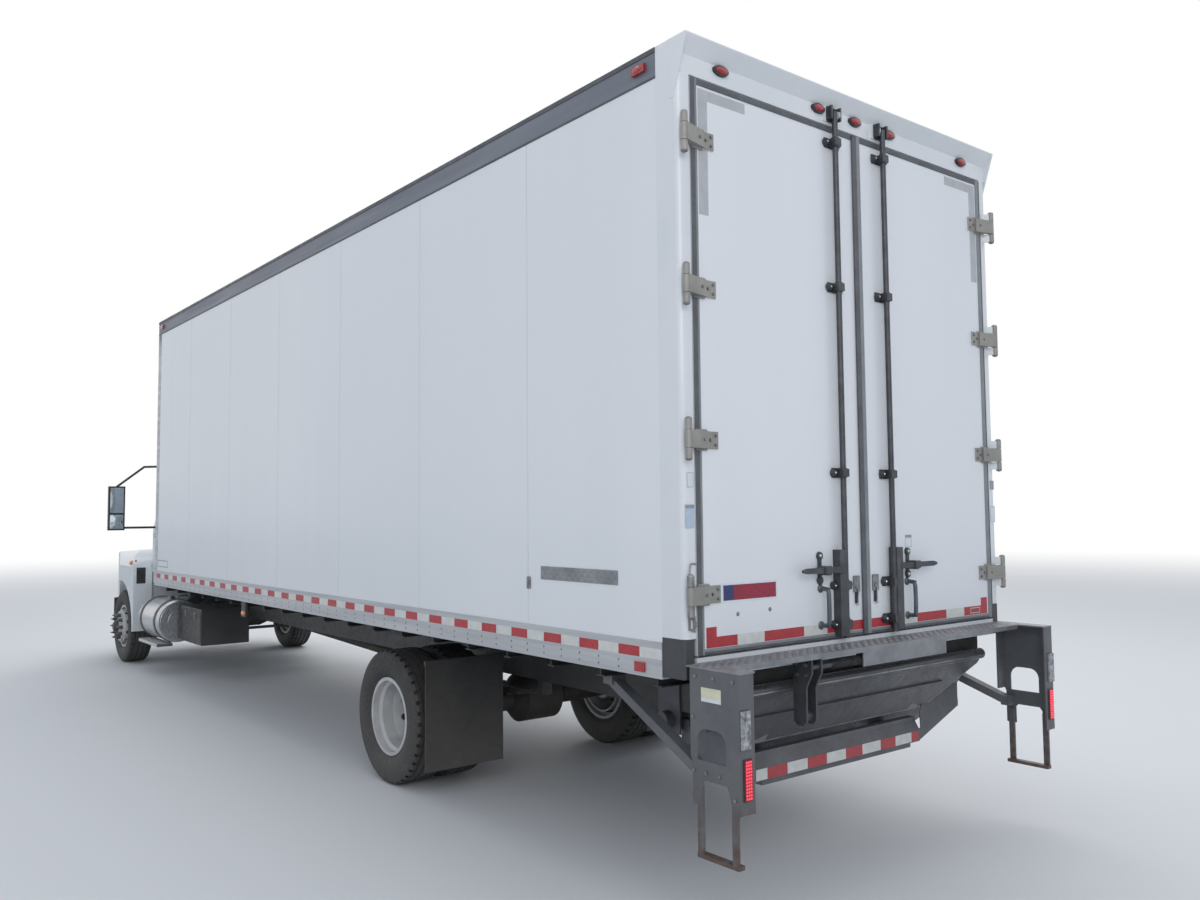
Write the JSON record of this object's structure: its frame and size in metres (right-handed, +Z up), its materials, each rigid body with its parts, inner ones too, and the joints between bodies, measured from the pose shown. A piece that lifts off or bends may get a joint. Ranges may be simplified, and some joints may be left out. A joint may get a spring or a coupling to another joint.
{
  "type": "refrigerated truck",
  "caption": "Two-axle refrigerated box truck with a conventional cab, insulated body, swing rear doors, steerable front wheels and a folded tuck-under lift.",
  "frame": {"origin": "on the ground under the middle of the truck's overall box", "axes": "+Y towards the rear doors, +X to the truck's left side, +Z up"},
  "size_m": [3.06, 11.7908, 4],
  "materials": {
    "white_paint": "gloss white cab paint",
    "white_panel": "white gel-coated wall panel",
    "rail_aluminium": "dull weathered extrusion",
    "wheel_white": "white wheel enamel with road dirt",
    "chassis_black": "satin black, dusty",
    "grey_steel": "worn grey paint on plate",
    "tread_plate": "chequered plate, scuffed",
    "dark_gear": "dark lock gear",
    "tyre": "dusty black rubber",
    "flap_rubber": "black rubber sheet",
    "glass": "lightly tinted",
    "lens_red": "clear red lens",
    "lens_clear": "clear lamp lens",
    "trim_black": "grained black plastic",
    "grille_chrome": "bright grille",
    "tank_aluminium": "polished, brushed round",
    "cast": "dark cast iron",
    "seat_fabric": "grey woven cloth",
    "dash_plastic": "grey grained dash"
  },
  "bodies": {
    "truck": {"chassis_frame": "chassis_black", "subframe": "chassis_black", "box_floor": "rail_aluminium", "side_walls": "white_panel", "front_wall": "white_panel", "box_roof": "white_panel", "body_rails": "rail_aluminium", "rear_frame": "white_paint", "corner_boxes": "chassis_black", "roller_bracket": "dark_gear", "reefer_unit": "white_paint", "step_plate": "tread_plate", "side_brackets": "grey_steel", "lift_frame": "grey_steel", "mud_flaps": "flap_rubber", "front_axle": "cast", "rear_axle": "cast", "springs": "chassis_black", "engine": "cast", "driveline": "cast", "cab_shell": "white_paint", "cab_roof": "white_paint", "cab_glass": "glass", "dashboard": "dash_plastic", "seats": "seat_fabric", "front_bumper": "trim_black", "fuel_tank": "tank_aluminium", "tank_steps": "grey_steel", "battery_box": "chassis_black", "tool_box": "chassis_black", "lamps": "lens_red"},
    "front_wheel_left": {"front_tyre_left": "tyre", "front_wheel_left": "wheel_white"},
    "front_wheel_right": {"front_tyre_right": "tyre", "front_wheel_right": "wheel_white"},
    "rear_wheels_left": {"rear_tyres_left": "tyre", "rear_wheels_left": "wheel_white"},
    "rear_wheels_right": {"rear_tyres_right": "tyre", "rear_wheels_right": "wheel_white"},
    "knuckle_left": {"knuckle_left": "cast"},
    "knuckle_right": {"knuckle_right": "cast"},
    "tie_rod": {"tie_rod": "chassis_black"},
    "cab_door_left": {"cab_door_left": "white_paint", "door_glass_left": "glass", "mirror_left": "trim_black"},
    "cab_door_right": {"cab_door_right": "white_paint", "door_glass_right": "glass", "mirror_right": "trim_black"},
    "cargo_door_left": {"cargo_door_left": "white_panel", "lock_gear_left": "dark_gear"},
    "cargo_door_right": {"cargo_door_right": "white_panel", "lock_gear_right": "dark_gear"},
    "hood": {"hood": "white_paint", "grille": "grille_chrome", "headlamps": "lens_clear"},
    "lift_arms": {"lift_arms": "grey_steel"},
    "lift_platform": {"lift_platform": "grey_steel", "under_ride_bar": "grey_steel"},
    "lift_barrels": {"lift_barrels": "chassis_black"},
    "lift_rods": {"lift_rods": "grille_chrome"}
  },
  "joints": [
    {"name": "steer_left", "type": "hinge", "parent": "truck", "child": "knuckle_left", "pos_m": [0.87, -4.895, 0.4475], "axis": [0, 0, 1], "range_deg": [-35, 35]},
    {"name": "front_wheel_left_spin", "type": "hinge", "parent": "knuckle_left", "child": "front_wheel_left", "pos_m": [1.04, -4.895, 0.4475], "axis": [1, 0, 0], "continuous": true},
    {"name": "rear_wheels_left_spin", "type": "hinge", "parent": "truck", "child": "rear_wheels_left", "pos_m": [0.924, 2.515, 0.4475], "axis": [1, 0, 0], "continuous": true},
    {"name": "cab_door_left_hinge", "type": "hinge", "parent": "truck", "child": "cab_door_left", "pos_m": [0.992, -4.203, 1.4], "axis": [0, 0, -1], "range_deg": [0, 65]},
    {"name": "cargo_door_left_hinge", "type": "hinge", "parent": "truck", "child": "cargo_door_left", "pos_m": [1.29, 5.6, 2.5], "axis": [0, 0, -1], "range_deg": [0, 255]},
    {"name": "steer_right", "type": "hinge", "parent": "truck", "child": "knuckle_right", "pos_m": [-0.87, -4.895, 0.4475], "axis": [0, 0, 1], "range_deg": [-35, 35]},
    {"name": "front_wheel_right_spin", "type": "hinge", "parent": "knuckle_right", "child": "front_wheel_right", "pos_m": [-1.04, -4.895, 0.4475], "axis": [1, 0, 0], "continuous": true},
    {"name": "rear_wheels_right_spin", "type": "hinge", "parent": "truck", "child": "rear_wheels_right", "pos_m": [-0.924, 2.515, 0.4475], "axis": [1, 0, 0], "continuous": true},
    {"name": "cab_door_right_hinge", "type": "hinge", "parent": "truck", "child": "cab_door_right", "pos_m": [-0.992, -4.203, 1.4], "axis": [0, 0, 1], "range_deg": [0, 65]},
    {"name": "cargo_door_right_hinge", "type": "hinge", "parent": "truck", "child": "cargo_door_right", "pos_m": [-1.29, 5.6, 2.5], "axis": [0, 0, 1], "range_deg": [0, 255]},
    {"name": "tie_rod_end", "type": "hinge", "parent": "knuckle_left", "child": "tie_rod", "pos_m": [0.87, -4.695, 0.32], "axis": [0, 0, 1], "range_deg": [-35, 35]},
    {"name": "hood_tilt", "type": "hinge", "parent": "truck", "child": "hood", "pos_m": [0, -5.783, 0.772], "axis": [1, 0, 0], "range_deg": [0, 60]},
    {"name": "lift_lower", "type": "hinge", "parent": "truck", "child": "lift_arms", "pos_m": [0, 4.615, 0.6], "axis": [-1, 0, 0], "range_deg": [0, 32]},
    {"name": "platform_level", "type": "hinge", "parent": "lift_arms", "child": "lift_platform", "pos_m": [0, 5.205, 0.62], "axis": [-1, 0, 0], "range_deg": [-32, 0]},
    {"name": "lift_barrel_swing", "type": "hinge", "parent": "truck", "child": "lift_barrels", "pos_m": [0, 4.505, 0.45], "axis": [-1, 0, 0], "range_deg": [0, 23.41]},
    {"name": "lift_rod_slide", "type": "slide", "parent": "lift_barrels", "child": "lift_rods", "axis": [0, 0.965, 0.2622], "range_m": [-0.07923, 0]}
  ],
  "couplings": [
    {"joint": "steer_right", "follows": "steer_left", "ratio": 1},
    {"joint": "tie_rod_end", "follows": "steer_left", "ratio": -1},
    {"joint": "platform_level", "follows": "lift_lower", "ratio": -1},
    {"joint": "lift_barrel_swing", "follows": "lift_lower", "ratio": 0.7311},
    {"joint": "lift_rod_slide", "follows": "lift_lower", "m_per_rad": -0.1415}
  ]
}
